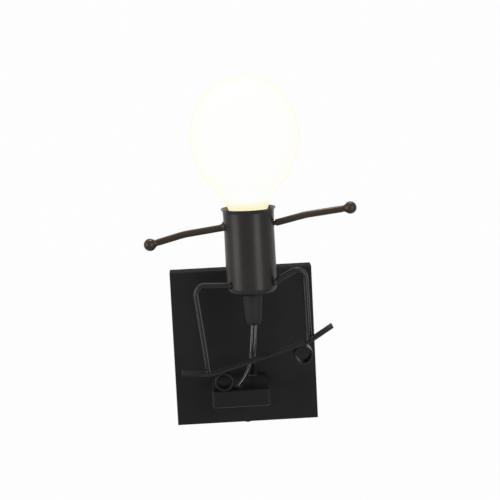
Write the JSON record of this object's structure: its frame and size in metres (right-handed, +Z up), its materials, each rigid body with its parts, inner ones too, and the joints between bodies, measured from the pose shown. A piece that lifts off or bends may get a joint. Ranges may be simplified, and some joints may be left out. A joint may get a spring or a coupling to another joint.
{
  "type": "wall light",
  "caption": "Black metal wall light: a plain rod figure with a cup for a body rides a skateboard on a box arm, and an opal globe bulb is its head.",
  "frame": {"origin": "middle of the canopy's back rim, on the wall plane", "axes": "+Z up, +Y into the wall, +X to the right of someone facing the wall"},
  "size_m": [0.1876, 0.1155, 0.321],
  "materials": {
    "black_coat": "black powder coat, satin, fine orange peel",
    "zinc_steel": "bright zinc plate",
    "black_plastic": "moulded black nylon, matt",
    "black_rubber": "black rubber",
    "black_pvc": "black cable sheath, slightly glossy",
    "green_pvc": "green and yellow insulation",
    "cream_plastic": "moulded cream plastic",
    "brass": "pressed or drawn brass",
    "ceramic": "glazed white ceramic",
    "phenolic": "moulded black phenolic",
    "opal_glass": "opal white, diffusing",
    "white_plastic": "moulded white plastic",
    "board_aluminium": "white solder resist on aluminium",
    "nickel": "nickel plate",
    "black_glass": "black glass"
  },
  "bodies": {
    "light": {"canopy": "black_coat", "canopy_screws": "black_coat", "support_arm": "black_coat", "skateboard": "black_coat", "left_wheel": "black_coat", "right_wheel": "black_coat", "left_leg": "black_coat", "right_leg": "black_coat", "cup": "black_coat", "left_arm": "black_coat", "right_arm": "black_coat", "left_hand": "black_coat", "right_hand": "black_coat", "wall_bracket": "zinc_steel", "earth_screw": "zinc_steel", "earth_tag": "zinc_steel", "terminal_screws": "zinc_steel", "block_screw": "zinc_steel", "threaded_nipple": "zinc_steel", "lock_nut": "zinc_steel", "holder_screws": "zinc_steel", "cord_grip": "black_plastic", "grip_screw": "black_plastic", "lead_grommets": "black_rubber", "live_lead": "black_pvc", "neutral_lead": "black_pvc", "earth_lead": "green_pvc", "terminal_block": "cream_plastic", "terminal_barrels": "brass", "holder_terminals": "brass", "thread_shell": "brass", "centre_contact": "brass", "lampholder_insert": "ceramic", "lampholder_base": "phenolic", "lampholder_sleeve": "phenolic"},
    "bulb_carrier": {"bulb_tip": "nickel"},
    "bulb": {"bulb_globe": "opal_glass", "led_board": "board_aluminium", "driver_housing": "white_plastic", "bulb_cap": "nickel", "bulb_insulator": "black_glass"}
  },
  "joints": [
    {"name": "bulb_lift", "type": "slide", "parent": "light", "child": "bulb_carrier", "axis": [0, 0, 1], "range_m": [0, 0.0164]},
    {"name": "bulb_turn", "type": "hinge", "parent": "bulb_carrier", "child": "bulb", "pos_m": [0.0085, -0.068, 0.107], "axis": [0, 0, 1], "range_deg": [0, 1620]}
  ],
  "couplings": [
    {"joint": "bulb_lift", "follows": "bulb_turn", "m_per_rad": 0.00057757}
  ]
}
